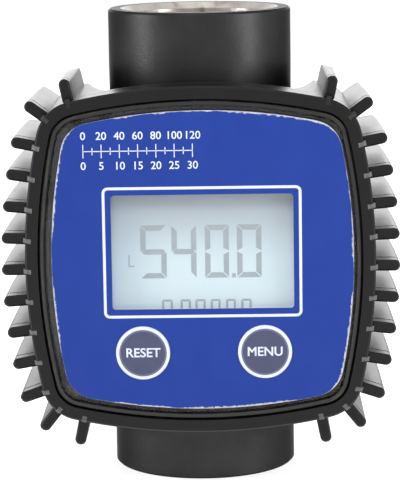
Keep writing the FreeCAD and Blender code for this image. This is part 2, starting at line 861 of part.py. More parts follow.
def key_places():
    z = head_height - key_drop
    return [(label_x + side * key_spacing / 2, z) for side in (-1, 1)]


def make_lens():
    lens = head_prism(lens_half, y_lens_front, y_lens_back)
    front = [e for e in lens.Edges if all(abs(v.Y - y_lens_front) < 1e-6 for v in e.Vertexes)]
    lens = lens.makeChamfer(lens_edge, front)
    for x, z in key_places():
        lens = lens.cut(rod_y(x, z, key_radius + key_clearance, y_lens_front, y_lens_back))
    return lens


def make_label():
    wire = outline_wire(label_half, y_label, side_radius + label_half - head_half,
                        label_corner, label_x)
    label = prism(wire, y_lens_front)
    label = label.cut(rounded_plate(label_x, head_height + window_rise, window_width,
                                    window_height, window_corner, y_label - 1, y_lens_front + 1))
    for x, z in key_places():
        label = label.cut(rod_y(x, z, key_radius + key_clearance, y_label, y_lens_front))
    return label


def glass_size():
    return window_width + 2 * glass_margin, window_height + 2 * glass_margin


def make_lcd_glass():
    """Two bonded sheets; the back one is taller and carries the contact ledges."""
    width, height = glass_size()
    z_mid = head_height + window_rise
    y_mid = (y_glass_front + y_glass_back) / 2
    front = rounded_plate(label_x, z_mid, width, height - 2 * contact_ledge, glass_corner,
                          y_glass_front, y_mid)
    back = rounded_plate(label_x, z_mid, width, height, glass_corner, y_mid, y_glass_back)
    return front.fuse(back)


def make_lcd_holder():
    width, height = glass_size()
    z_mid = head_height + window_rise
    outer = rounded_plate(label_x, z_mid, width + 2 * (holder_wall + fit_gap),
                          height + 2 * (holder_wall + fit_gap), holder_wall,
                          y_lens_back, y_board_front)
    pocket = rounded_plate(label_x, z_mid, width + 2 * fit_gap, height + 2 * fit_gap,
                           glass_corner, y_glass_front, y_board_front)
    view = rounded_plate(label_x, z_mid, window_width + 2 * view_margin,
                         window_height + view_margin, window_corner,
                         y_lens_back, y_glass_front)
    return outer.cut(pocket).cut(view)


def make_strips():
    """Rubber contact strips between the glass's ledges and the board."""
    width, height = glass_size()
    strips = []
    x_reach = width / 2 - strip_inset
    z_outer = height / 2 - strip_edge
    for side in (-1, 1):
        z_mid = head_height + window_rise
        strips.append(box((label_x - x_reach, label_x + x_reach), (y_glass_back, y_board_front),
                          (z_mid + side * z_outer, z_mid + side * (z_outer - strip_width))))
    return Part.makeCompound(strips)


def make_board():
    board = head_prism(board_half, y_board_front, y_board_back)
    for x, z in corners(screw_place):
        board = board.cut(rod_y(x, z, pillar_radius + case_clearance, y_board_front, y_board_back))
    lead_hole = lead_spread + 2 * lead_radius
    return board.cut(rod_y(0, head_height, lead_hole, y_board_front, y_board_back))


def make_chips():
    """Processor, crystal can and two capacitors on the back of the board."""
    y_top = y_plate - chip_clearance
    half = chip_size / 2
    parts = [
        box((chip_offset - half, chip_offset + half), (y_board_back, y_top),
            (head_height - half, head_height + half)),
        rounded_plate(-chip_offset, head_height + chip_row, crystal_length, crystal_width,
                      crystal_width * 0.45, y_board_back, y_top),
    ]
    for side in (-1, 1):
        x = -chip_offset + side * capacitor_length
        parts.append(box((x - capacitor_length / 2, x + capacitor_length / 2),
                         (y_board_back, y_top),
                         (head_height - chip_row - capacitor_width / 2,
                          head_height - chip_row + capacitor_width / 2)))
    return Part.makeCompound(parts)


def make_key(x, z):
    """Round key with a broken front edge and a flange that holds it behind the lens."""
    key = rod_y(x, z, key_radius, y_label - key_rise, y_lens_back)
    front = [e for e in key.Edges if all(abs(v.Y - y_label + key_rise) < 1e-6 for v in e.Vertexes)]
    key = key.makeChamfer(key_edge, front)
    flange = rod_y(x, z, key_radius + key_flange, y_lens_back, y_lens_back + key_flange_thickness)
    return key.fuse(flange)


def make_plunger(x, z):
    y = y_lens_back + key_flange_thickness
    return rod_y(x, z, plunger_radius, y, y + plunger_length)


def make_switch(x, z):
    """Square key switch on the board, bored for its plunger."""
    half = switch_size / 2
    y_top = y_board_front - switch_height
    body = box((x - half, x + half), (y_top, y_board_front), (z - half, z + half))
    well_end = (y_lens_back + key_flange_thickness + plunger_length + key_travel
                + plunger_clearance)
    return body.cut(rod_y(x, z, plunger_radius + plunger_clearance, y_top, well_end))


# ---------------------------------------------------------------- sensor and supply
def make_sensor():
    """Pickup in its sealed pocket, with two leads to the board."""
    y_tip = -(chamber_radius + pocket_floor) - sensor_tip_gap
    body = rod_y(0, head_height, pocket_radius - sensor_clearance, y_floor, y_tip)
    tip = [e for e in body.Edges if all(abs(v.Y - y_tip) < 1e-6 for v in e.Vertexes)]
    body = body.makeChamfer(sensor_edge, tip)
    for side in (-1, 1):
        body = body.fuse(rod_y(side * lead_spread, head_height, lead_radius,
                               y_board_back, y_floor))
    return body


def make_pickup_seal():
    return Part.makeTorus(pocket_radius + seal_section, seal_section,
                          Vector(0, y_pad + seal_section, head_height), Vector(0, 1, 0))


def trough(grow, y_front_edge, z_half, x):
    """U-shaped bar that follows a cell, round at the back."""
    r = cell_radius + grow
    mid = -cell_y
    z = head_height - z_half
    edges = [
        Part.LineSegment(Vector(x - r, y_front_edge, z), Vector(x - r, mid, z)),
        Part.Arc(Vector(x - r, mid, z), Vector(x, mid + r, z), Vector(x + r, mid, z)),
        Part.LineSegment(Vector(x + r, mid, z), Vector(x + r, y_front_edge, z)),
        Part.LineSegment(Vector(x + r, y_front_edge, z), Vector(x - r, y_front_edge, z)),
    ]
    return Part.Face(Part.Wire([e.toShape() for e in edges])).extrude(Vector(0, 0, 2 * z_half))


def make_battery_holder():
    """Two open trays joined by a plate that lies on the housing's floor."""
    inner_half = cell_length / 2 + contact_room
    outer_half = inner_half + tray_wall
    reach = cell_x - cell_radius
    holder = box((-reach, reach), (y_plate, y_floor),
                 (head_height - pad_half_height, head_height + pad_half_height))
    for side in (-1, 1):
        x = side * cell_x
        holder = holder.fuse(trough(tray_clearance + tray_wall, y_plate, outer_half, x))
    for side in (-1, 1):
        x = side * cell_x
        holder = holder.cut(trough(tray_clearance, y_plate - 1, inner_half, x))
    holder = holder.cut(rod_y(0, head_height, pocket_radius, y_plate, y_floor))
    for sx in (-1, 1):
        for sz in (-1, 1):
            z = head_height + sz * (pad_half_height - post_inset)
            post = rod_y(sx * (reach - post_inset), z, post_radius, y_board_back, y_plate)
            holder = holder.fuse(post)
    return holder.removeSplitter()


def make_cells():
    """Two AAA cells lying opposite ways."""
    cells = []
    for side in (-1, 1):
        case_length = cell_length - cell_nub
        cell = Part.makeCylinder(cell_radius, case_length)
        ends = [e for e in cell.Edges if len(e.Vertexes) == 1]
        cell = cell.makeChamfer(cell_edge, ends)
        cell = cell.fuse(Part.makeCylinder(cell_nub_radius, cell_nub, Vector(0, 0, case_length)))
        cell.translate(Vector(0, 0, -cell_length / 2))
        if side < 0:
            cell.rotate(Vector(0, 0, 0), Vector(1, 0, 0), 180)
        cell.translate(Vector(side * cell_x, -cell_y, head_height))
        cells.append(cell)
    return Part.makeCompound(cells)


def make_contacts():
    """Plate and bowed leaf at each end of each tray."""
    contacts = []
    inner_half = cell_length / 2 + contact_room
    bow = contact_room - contact_thickness
    for sx in (-1, 1):
        for sz in (-1, 1):
            x = sx * cell_x
            z = head_height + sz * inner_half
            half = cell_radius * contact_share
            plate = box((x - half, x + half), (-cell_y - half, -cell_y + half),
                        (z, z - sz * contact_thickness))
            foot = z - sz * contact_thickness
            top = foot - sz * (bow - leaf_rest)
            inner_top = top + sz * contact_thickness * leaf_taper
            y = -cell_y - leaf_width / 2

            def at(dx, level):
                return Vector(x + dx, y, level)

            inner = half - leaf_foot
            edges = [
                Part.Arc(at(-half, foot), at(0, top), at(half, foot)),
                Part.LineSegment(at(half, foot), at(inner, foot)),
                Part.Arc(at(inner, foot), at(0, inner_top), at(-inner, foot)),
                Part.LineSegment(at(-inner, foot), at(-half, foot)),
            ]
            leaf = Part.Face(Part.Wire([e.toShape() for e in edges]))
            contacts.append(plate.fuse(leaf.extrude(Vector(0, leaf_width, 0))))
    return Part.makeCompound(contacts)


# ---------------------------------------------------------------- screws
def cross_recess(x, z, y_face, depth_sign):
    """Cross slot for a screwdriver, cut into a head."""
    long_half = screw_head_radius * recess_share
    arm = recess_arm
    depth = y_face + depth_sign * recess_depth
    one = box((x - long_half, x + long_half), (y_face, depth), (z - arm, z + arm))
    two = box((x - arm, x + arm), (y_face, depth), (z - long_half, z + long_half))
    return one.fuse(two)


def make_head_screws():
    """Corner screws from the back of the housing into the display case."""
    screws = []
    seat = head_seat()
    y_face = seat + screw_head_height
    for x, z in corners(screw_place):
        head = rod_y(x, z, screw_head_radius, seat, y_face)
        rim = [e for e in head.Edges if all(abs(v.Y - y_face) < 1e-6 for v in e.Vertexes)]
        head = head.makeChamfer(screw_head_edge, rim)
        screw = head.fuse(rod_y(x, z, screw_radius, seat, seat - screw_grip))
        screws.append(screw.cut(cross_recess(x, z, y_face, -1)))
    return Part.makeCompound(screws)


def make_tube_screws():
    """Countersunk screws from the housing's floor into the tube's pad."""
    screws = []
    for x, z in tube_screw_places():
        screw = countersunk(x, z, 0, tube_screw_length)
        screws.append(screw.cut(cross_recess(x, z, y_floor, 1)))
    return Part.makeCompound(screws)


# ---------------------------------------------------------------- gaskets
def make_frame_gasket():
    return head_ring(head_half - gasket_inset, ledge_half + gasket_clearance,
                     y_frame_back, y_housing)


def make_display_gasket():
    return head_ring(case_half - case_gasket_inset, ledge_half, y_flange, y_ledge)


def main():
    os.makedirs("parts", exist_ok=True)
    save("flow_body", make_flow_body())
    save("inlet_straightener", make_straightener(True))
    save("outlet_straightener", make_straightener(False))
    save("chamber_liner", make_liner())
    save("chamber_seal", make_chamber_seal())
    save("retaining_ring", make_retaining_ring())
    save("inlet_bearing", make_bearing(True))
    save("outlet_bearing", make_bearing(False))
    save("inlet_thrust_washer", make_thrust_washer(True))
    save("outlet_thrust_washer", make_thrust_washer(False))
    save("rotor", make_rotor())
    save("rotor_shaft", make_shaft())
    save("rotor_magnets", Part.makeCompound(magnet_bars(0, magnet_length - magnet_depth)))
    save("head_housing", make_housing())
    save("front_frame", make_front_frame())
    save("frame_gasket", make_frame_gasket())
    save("display_gasket", make_display_gasket())
    save("display_case", make_display_case())
    save("display_lens", make_lens())
    save("face_label", make_label())
    save("lcd_glass", make_lcd_glass())
    save("lcd_holder", make_lcd_holder())
    save("lcd_contact_strips", make_strips())
    save("circuit_board", make_board())
    save("board_chips", make_chips())
    for name, (x, z) in zip(("reset", "menu"), key_places()):
        save(name + "_key", make_key(x, z))
        save(name + "_switch_stem", make_plunger(x, z))
        save(name + "_switch", make_switch(x, z))
    save("pickup_sensor", make_sensor())
    save("pickup_seal", make_pickup_seal())
    save("battery_holder", make_battery_holder())
    save("battery_cells", make_cells())
    save("battery_contacts", make_contacts())
    save("head_screws", make_head_screws())
    save("tube_screws", make_tube_screws())


main()
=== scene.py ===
# %% [markdown]
# # A turbine flow meter with a ribbed display head
#
# The real object is a coated aluminium tube with a pipe thread at each end. A square head
# of black nylon is screwed to its front, with short ribs all round, and carries a small
# liquid crystal display, a blue printed label and two round keys. The solids of every
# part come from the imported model, in metres, in their real places. This lesson gives each
# of them its finish, and adds what solids leave out: the threads, the print on the label
# and keys, and the digits.

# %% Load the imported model
import math

import bpy
from mathutils import Matrix, Vector


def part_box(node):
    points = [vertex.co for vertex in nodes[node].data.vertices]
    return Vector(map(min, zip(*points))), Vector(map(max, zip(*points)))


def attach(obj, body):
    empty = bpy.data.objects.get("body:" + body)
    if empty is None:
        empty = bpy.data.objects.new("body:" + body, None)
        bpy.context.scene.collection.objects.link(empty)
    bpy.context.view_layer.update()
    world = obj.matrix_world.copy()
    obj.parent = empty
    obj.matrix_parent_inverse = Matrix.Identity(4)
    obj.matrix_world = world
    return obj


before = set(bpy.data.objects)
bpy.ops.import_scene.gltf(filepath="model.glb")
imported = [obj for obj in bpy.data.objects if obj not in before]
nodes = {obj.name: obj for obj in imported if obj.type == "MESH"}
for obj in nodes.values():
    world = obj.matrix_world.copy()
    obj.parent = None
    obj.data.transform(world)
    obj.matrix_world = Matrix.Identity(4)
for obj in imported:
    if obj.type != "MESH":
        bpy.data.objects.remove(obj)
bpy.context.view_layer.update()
MM = 0.001
print("packed nodes:", len(nodes))

# %% [markdown]
# ## Camera
#
# The camera looks at the head almost straight on, from a little above. A long lens a
# good half metre away keeps the ribs nearly parallel. The camera's three axes are worked
# out from its direction and a small roll, because that is exact and needs no trial and
# error with three angles.

# %% Camera
CAMERA_DISTANCE = 566.14 * MM
CAMERA_ELEVATION = math.radians(9.315)
CAMERA_AZIMUTH = math.radians(0.95)
CAMERA_ROLL = math.radians(-0.858)
CAMERA_LENS = 181.4
CAMERA_TARGET = Vector((-0.577, 0.0, 52.037)) * MM


def add_camera():
    back = Vector((math.sin(CAMERA_AZIMUTH) * math.cos(CAMERA_ELEVATION),
                   -math.cos(CAMERA_AZIMUTH) * math.cos(CAMERA_ELEVATION),
                   math.sin(CAMERA_ELEVATION)))
    right = Vector((0, 0, 1)).cross(back).normalized()
    up = back.cross(right)
    level = right * math.cos(CAMERA_ROLL) + up * math.sin(CAMERA_ROLL)
    plumb = up * math.cos(CAMERA_ROLL) - right * math.sin(CAMERA_ROLL)
    data = bpy.data.cameras.new("camera")
    data.lens = CAMERA_LENS
    data.clip_start = 0.01
    camera = bpy.data.objects.new("camera", data)
    bpy.context.scene.collection.objects.link(camera)
    turn = Matrix((level, plumb, back)).transposed().to_4x4()
    camera.matrix_world = Matrix.Translation(CAMERA_TARGET + back * CAMERA_DISTANCE) @ turn
    bpy.context.scene.camera = camera
    print("camera at", tuple(round(v, 3) for v in camera.location))


add_camera()

# %% [markdown]
# ## Writing shaders as sums
#
# A node tree is easier to read as arithmetic. `Link` wraps one output socket, and its
# operators add the Math nodes, so `1 - mask * 0.5` is a small tree. Every other node
# comes from `Finish.node`, which takes the node's type, its settings and its inputs.
# Colours and vectors stay in Mix and Vector Math nodes, since a Math node turns a colour
# grey.


# %% Shader helpers
class Link:
    """One value in a shader, which can be added to and multiplied like a number."""

    def __init__(self, finish, socket):
        self.finish = finish
        self.socket = socket

    def math(self, operation, *values):
        return self.finish.node("ShaderNodeMath", {"operation": operation}, values)

    def __add__(self, other):
        return self.math("ADD", self, other)

    __radd__ = __add__

    def __mul__(self, other):
        return self.math("MULTIPLY", self, other)

    __rmul__ = __mul__

    def __sub__(self, other):
        return self.math("SUBTRACT", self, other)

    def __rsub__(self, other):
        return self.math("SUBTRACT", other, self)

    def __pow__(self, other):
        return self.math("POWER", self, other)

    def __gt__(self, other):
        return self.math("GREATER_THAN", self, other)

    def size(self):
        return self.math("ABSOLUTE", self)

    def most(self, other):
        return self.math("MAXIMUM", self, other)

    def wave(self):
        return self.math("SINE", self)

    def step(self, low, high):
        """0 below low, 1 above high, with a soft step between."""
        settings = {"interpolation_type": "SMOOTHSTEP"}
        return self.finish.node("ShaderNodeMapRange", settings,
                                {"Value": self, "From Min": low, "From Max": high})


class Finish:
    """A material under construction, with places measured in millimetres."""

    def __init__(self, name):
        self.material = bpy.data.materials.new(name)
        self.material.use_nodes = True
        self.tree = self.material.node_tree
        self.tree.nodes.clear()
        place = self.node("ShaderNodeTexCoord", {}, {}, "Object")
        self.place = self.node("ShaderNodeVectorMath", {"operation": "SCALE"},
                               {0: place, "Scale": 1000.0})
        self.x, self.y, self.z = self.split(self.place)

    def node(self, kind, settings, inputs, output=0):
        node = self.tree.nodes.new(kind)
        for name, value in settings.items():
            setattr(node, name, value)
        named = inputs.items() if isinstance(inputs, dict) else enumerate(inputs)
        for name, value in named:
            if isinstance(value, Link):
                self.tree.links.new(value.socket, node.inputs[name])
            else:
                node.inputs[name].default_value = value
        return Link(self, node.outputs[output])

    def split(self, vector):
        node = self.node("ShaderNodeSeparateXYZ", {}, [vector]).socket.node
        return [Link(self, node.outputs[i]) for i in range(3)]

    def distance(self, a, b):
        """Length of a flat vector from its two parts."""
        return (a * a + b * b) ** 0.5

    def noise(self, grain, detail=2.0, place=None, rough=0.5):
        """Cloudy values from 0 to 1 with features about `grain` millimetres across."""
        return self.node("ShaderNodeTexNoise", {},
                         {"Vector": place or self.place, "Scale": 1.0 / grain,
                          "Detail": detail, "Roughness": rough})

    def stretched(self, x, y, z):
        """The place with each direction scaled, for streaks and brushed lines."""
        return self.node("ShaderNodeVectorMath", {"operation": "MULTIPLY"},
                         [self.place, (x, y, z)])

    def mix(self, factor, low, high):
        """A colour between two colours."""
        return self.node("ShaderNodeMix", {"data_type": "RGBA"},
                         {0: factor, 6: low, 7: high}, 2)

    def bump(self, height, depth, normal=None):
        """Normals for a relief of that height, `depth` millimetres from 0 to 1."""
        inputs = {"Height": height, "Distance": depth * MM, "Strength": 1.0}
        if normal:
            inputs["Normal"] = normal
        return self.node("ShaderNodeBump", {}, inputs)

    def principled(self, **inputs):
        named = {name.replace("_", " "): value for name, value in inputs.items()}
        return self.node("ShaderNodeBsdfPrincipled", {}, named)

    def done(self, surface):
        output = self.tree.nodes.new("ShaderNodeOutputMaterial")
        self.tree.links.new(surface.socket, output.inputs["Surface"])
        return self.material


def colour(red, green, blue):
    """A screen colour, 0 to 255, as the linear colour that Blender works in."""
    def linear(value):
        share = value / 255
        return share / 12.92 if share <= 0.04045 else ((share + 0.055) / 1.055) ** 2.4
    return linear(red), linear(green), linear(blue), 1.0


def grey(value):
    return colour(value, value, value)


# %% [markdown]
# ## Flow tube
#
# The tube is aluminium under a thin black coat, which keeps a little of the casting's
# grain and has fine paler dust in it. So thin a coat shines as dark metal does, with broad
# grey highlights and a dark rim, and a metal with a darkened Specular Tint gives that. The
# mouth, thread and bore are machined after coating, so they are bare, and the bare metal
# turns brown in streaks where x is within 5 to 12 mm of the axis. One finish does both:
# everything nearer to the axis than the mouth's edge is bare, which is how the lathe left it.


# %% Coated tube with a machined bore
MOUTH_RADIUS = 18.05
MOUTH_BLUR = 0.12


def coated_tube():
    f = Finish("coated_tube")
    radius = f.distance(f.x, f.y)
    bare = 1 - radius.step(MOUTH_RADIUS, MOUTH_RADIUS + MOUTH_BLUR)
    clouds = f.noise(7.0, 3.0)
    grain = f.noise(0.35, 3.0)
    dust = f.noise(0.45, 2.0).step(0.6, 0.72)
    coat = f.mix(clouds, grey(42), grey(58))
    coat = f.mix(dust * 0.14, coat, grey(74))
    turned = (f.z * 26.0 + f.noise(2.0) * 1.5).wave()
    metal = f.mix(f.noise(3.0, 3.0, f.stretched(1.0, 1.0, 0.2)),
                  colour(168, 160, 153), colour(214, 210, 206))
    # Brown streaks in the bare metal, kept near the middle of the bore's width.
    brown_streaks = f.noise(9.0, 3.0, f.stretched(1.0, 1.0, 0.3)).step(0.46, 0.58)
    brown_streaks = brown_streaks * (1 - f.x.size().step(5.0, 12.0))
    metal = f.mix(brown_streaks * 0.75, metal, colour(124, 84, 66))
    base = f.mix(bare, coat, metal)
    rough = 0.28 + grain * 0.16 + clouds * 0.08
    rough = rough * (1 - bare) + bare * (0.24 + clouds * 0.12)
    orange_peel = f.bump(grain + clouds * 2.0, 0.03)
    lathe = f.bump(turned * bare, 0.006, orange_peel)
    return f.done(f.principled(Base_Color=base, Roughness=rough, Metallic=1.0,
                               Specular_Tint=grey(184), Normal=lathe))


# %% [markdown]
# ## Black mouldings
#
# Housing and frame are glass-filled nylon. Its skin is satin with a fine spark-eroded
# texture, slightly cloudy where the melt flowed. One recipe makes both, with their own
# numbers for grain and gloss.
#
# The small ramps at the feet of the frame's ribs get a painted highlight, pale grey that
# stands in for the light they catch, fading towards the top, so the frame's recipe adds a
# mask for them. A ramp falls back at 45 degrees from a line inside the head's outline, so
# it is where the depth behind the front equals the distance from that line.
# The outline is four wide arcs and four small corner arcs, and the distance to it is
# worked out from the same arcs. The label's outline is of the same kind, so that sum is
# used again there.


# %% Black plastics
LABEL_MIDDLE_X = 0.5
HEAD_MIDDLE_Z = 52.8
SIDE_CENTRE = 91.3
LABEL_OUTLINE = {"side_radius": 124.65, "corner_radius": 7.0, "corner_centre": 23.90}
HEAD_OUTLINE = {"side_radius": 130.0, "corner_radius": 9.2, "corner_centre": 26.55}


def edge_distance(f, outline, middle_x=0.0):
    """Distance from an outline of the head in millimetres, negative inside."""
    centre = outline["corner_centre"]
    across = (f.x - middle_x).size()
    along = (f.z - HEAD_MIDDLE_Z).size()
    side = f.distance(across + SIDE_CENTRE, along)
    top = f.distance(across, along + SIDE_CENTRE)
    sides = side.most(top) - outline["side_radius"]
    corner = f.distance(across - centre, along - centre) - outline["corner_radius"]
    slope = centre / (SIDE_CENTRE + centre)
    in_corner = ((along > (across + SIDE_CENTRE) * slope)
                 * (across > (along + SIDE_CENTRE) * slope))
    return sides * (1 - in_corner) + corner * in_corner


FRAME_FRONT_Y = -33.8
RAMP_START = -1.3
RAMP_DEPTH = 1.8
RAMPS_FADE = (78.0, 86.0)


def rubbed_ramps(f):
    """Painted highlight: towards 1 on the sloping ramps at the feet of the ribs, less near the
    top.
    """
    depth = f.y - FRAME_FRONT_Y
    off_slope = (edge_distance(f, HEAD_OUTLINE) - RAMP_START - depth).size()
    on_slope = (1 - off_slope.step(0.06, 0.1)) * depth.step(0.01, 0.05)
    on_slope = on_slope * (1 - depth.step(RAMP_DEPTH, RAMP_DEPTH + 0.05))
    return on_slope * (0.9 - f.z.step(*RAMPS_FADE) * 0.82)


def moulded_plastic(name, dark, light, grain_size, relief, rough, gloss, ramp_highlight=False):
    f = Finish(name)
    clouds = f.noise(9.0, 3.0)
    grain = f.noise(grain_size, 2.0)
    dust = f.noise(1.3, 2.0).step(0.66, 0.74)
    base = f.mix(clouds, dark, light)
    if ramp_highlight:
        # Painted highlight: the ramps turn pale grey where they would catch light.
        base = f.mix(rubbed_ramps(f) * (0.6 + f.noise(0.8) * 0.5), base, grey(120))
    skin = rough + (clouds - 0.5) * 0.06 + (grain - 0.5) * 0.12 + dust * 0.05
    return f.done(f.principled(Base_Color=base, Roughness=skin, Specular_IOR_Level=gloss,
                               Normal=f.bump(grain, relief)))


# %% [markdown]
# ## Clear lens
#
# The lens is a sheet of acrylic. What shows is what lies behind it, plus reflections that
# grow towards a grazing view. Mixing a see-through shader with a glossy one by Fresnel
# gives just that, and light still reaches the display underneath.


# %% Clear lens
def clear_lens():
    f = Finish("clear_lens")
    scratches = f.noise(0.6, 3.0, f.stretched(1.0, 1.0, 0.15)).step(0.5, 0.9)
    normal = f.bump(f.noise(6.0, 2.0), 0.01)
    facing = f.node("ShaderNodeLayerWeight", {}, {"Blend": 0.5, "Normal": normal}, 0)
    clear = f.node("ShaderNodeBsdfTransparent", {}, {"Color": (0.985, 0.99, 0.99, 1.0)})
    gloss = f.node("ShaderNodeBsdfGlossy", {}, {"Roughness": 0.04 + scratches * 0.1,
                                                "Normal": normal})
    share = 0.015 + facing * facing * 0.5
    return f.done(f.node("ShaderNodeMixShader", {}, [share, clear, gloss]))


# %% [markdown]
# ## Printed label
#
# The label is a film printed in one strong blue and die-cut to the head's outline. Where
# the print stops short of the cut, a ragged pale line of bare film shows, but only along
# some stretches of the edge. A coarse noise says where the line shows, and a fine one
# makes it ragged.


# %% Printed label
def printed_label():
    f = Finish("printed_label")
    stretches = f.noise(13.0, 2.0).step(0.4, 0.56)
    ragged = f.noise(0.9, 4.0, rough=0.7).step(0.3, 0.75)
    width = stretches * (0.1 + ragged * 0.5) + 0.03
    bare = (edge_distance(f, LABEL_OUTLINE, LABEL_MIDDLE_X) + width).step(-0.04, 0.06)
    mottle = f.noise(5.0, 4.0, f.stretched(1.0, 1.0, 0.5))
    ink = f.mix(mottle, colour(32, 59, 145), colour(40, 67, 154))
    film = f.mix(f.noise(0.8), colour(132, 138, 156), colour(232, 234, 240))
    base = f.mix(bare, ink, film)
    rough = 0.36 + (f.noise(0.5) - 0.5) * 0.1
    return f.done(f.principled(Base_Color=base, Roughness=rough, Specular_IOR_Level=0.15,
                               Normal=f.bump(f.noise(0.4, 2.0), 0.004)))


# %% [markdown]
# ## Display case under the lens
#
# Outside the label the clear lens shows the glossy case beneath it. Its plastic is painted
# with brownish streaks in lines that follow the edge, and with brownish patches on the
# round ends of the screw pillars at the corners: painted reflection, for the brownish
# reflections in the lens. The lines come from the same edge distance.


# %% Display case
PILLAR_PLACE = 28.3
PILLAR_RADIUS = 3.4
PILLAR_BLUR = 1.6


def glued_case():
    f = Finish("glued_case")
    lines = f.noise(1.4, 2.0)
    wander = edge_distance(f, LABEL_OUTLINE, LABEL_MIDDLE_X) * 5.0 + f.noise(9.0, 2.0) * 6.0
    reflection_streaks = f.noise(4.5, 2.0).step(0.35, 0.65) * wander.wave().step(0.1, 0.9)
    across = f.x.size() - PILLAR_PLACE
    along = (f.z - HEAD_MIDDLE_Z).size() - PILLAR_PLACE
    pillar_patch = 1 - f.distance(across, along).step(PILLAR_RADIUS - PILLAR_BLUR, PILLAR_RADIUS)
    # Painted reflection: brownish streaks and pillar patches over the dark case.
    brown_reflection = f.mix(lines, colour(44, 41, 35), colour(92, 82, 66))
    base = f.mix((reflection_streaks * 0.5).most(pillar_patch * lines.step(0.25, 0.6)), colour(25, 25, 24), brown_reflection)
    return f.done(f.principled(Base_Color=base, Roughness=0.16 + lines * 0.16,
                               Specular_IOR_Level=0.4, Normal=f.bump(reflection_streaks, 0.02)))


# %% [markdown]
# ## Display
#
# A reflective liquid crystal display is pale silver-blue with the fine grain of its
# polariser. Its top and left are painted darker, as painted shade of the window's edge,
# and its foot is painted paler, with a faint glow that is painted light for the mirror that
# sends light outwards. The digits are separate flat pieces, added further down, because
# the eye reads their outlines.


# %% Display glass
def display_glass():
    f = Finish("display_glass")
    # Painted shade: darker towards the left and the top, for the window edge's shadow.
    left = (LABEL_MIDDLE_X - f.x).step(6.0, 22.0)
    top = f.z.step(50.0, 69.0)
    foot = f.mix(f.noise(12.0, 2.0), colour(226, 241, 248), colour(237, 249, 254))
    base = f.mix(top * 0.8, foot, colour(190, 197, 207))
    base = f.mix(left * 0.75, base, colour(196, 210, 226))
    # Painted light: a faint glow at the foot, fading out towards the top.
    glow = f.mix(top, colour(164, 188, 200), grey(0))
    rough = 0.3 + f.noise(0.15) * 0.1
    return f.done(f.principled(Base_Color=base, Roughness=rough, Emission_Color=glow,
                               Emission_Strength=0.3, Normal=f.bump(f.noise(0.12), 0.002)))


# %% [markdown]
# ## Keys
#
# Each key is a grey-blue cap with a printed white ring at its rim. The ring's paint runs
# over the broken edge, so the cap's own finish turns white at that radius too, and just
# inside it a fine pale line is a painted highlight on the cap's bevel. Each cap has its own
# middle, so the recipe is given it.


# %% Key caps
KEY_SPACING = 27.08
KEY_MIDDLE_Z = 32.2
KEY_RING_INSIDE = 5.25


def key_cap(name, middle_x):
    f = Finish(name)
    radius = f.distance(f.x - middle_x, f.z - KEY_MIDDLE_Z)
    painted = radius.step(KEY_RING_INSIDE, KEY_RING_INSIDE + 0.08)
    cloud = f.noise(2.5, 3.0)
    bevel_highlight = radius.step(4.9, 4.97) - radius.step(5.06, 5.13)
    cap = f.mix(cloud, colour(77, 80, 106), colour(85, 88, 113))
    # Painted highlight: a pale line where the cap's bevel catches light.
    cap = f.mix(bevel_highlight * 0.6, cap, colour(150, 154, 178))
    base = f.mix(painted, cap, colour(228, 232, 246))
    return f.done(f.principled(Base_Color=base, Roughness=0.38 + cloud * 0.1,
                               Specular_IOR_Level=0.2, Normal=f.bump(f.noise(0.25), 0.006)))


# %% [markdown]
# ## Metals, rubbers and inner plastics
#
# Inner parts are seen only down the ports or when somebody opens the model, but each
# still gets the finish of its own material: turned or stamped metal has fine lines, brass
# tarnishes in patches, rubber is dull with dust, and light plastics let a little colour
# variation through.


# %% Metals and other finishes
def worked_metal(name, dark, light, rough):
    f = Finish(name)
    patches = f.noise(2.2, 4.0)
    lines = f.noise(0.2, 2.0, f.stretched(1.0, 1.0, 6.0))
    base = f.mix(patches, dark, light)
    return f.done(f.principled(Base_Color=base, Metallic=1.0,
                               Roughness=rough + (patches - 0.5) * 0.12 + lines * 0.1,
                               Normal=f.bump(lines, 0.004)))


def dull_solid(name, dark, light, rough, grain_size=0.4):
    f = Finish(name)
    patches = f.noise(3.0, 3.0)
    grain = f.noise(grain_size, 2.0)
    base = f.mix(patches * 0.7 + grain * 0.3, dark, light)
    return f.done(f.principled(Base_Color=base, Roughness=rough + (grain - 0.5) * 0.14,
                               Normal=f.bump(grain, 0.01)))


def printed_board():
    f = Finish("circuit_board")
    lanes = (f.x * 2.4).wave().step(0.55, 0.75) * f.noise(4.0).step(0.42, 0.5)
    base = f.mix(lanes * 0.6, colour(18, 74, 44), colour(52, 120, 74))
    return f.done(f.principled(Base_Color=base, Roughness=0.32 + f.noise(0.5) * 0.1,
                               Normal=f.bump(lanes, 0.02)))


def cell_sleeve():
    f = Finish("cell_sleeve")
    along = (f.z - HEAD_MIDDLE_Z).size()
    steel = along.step(21.4, 21.6)
    band = along.step(12.0, 12.3) * (1 - steel)
    base = f.mix(band, colour(40, 42, 46), colour(170, 120, 52))
    base = f.mix(steel, base, grey(196))
    return f.done(f.principled(Base_Color=base, Roughness=0.3 + f.noise(1.5) * 0.1,
                               Metallic=steel, Normal=f.bump(f.noise(0.5), 0.004)))


# %% [markdown]
# ## Giving every node its finish
#
# A CAD node keeps its own mesh, so a finish goes into its material slot. One table names
# the finish of every node, which makes it easy to see that none was left out.

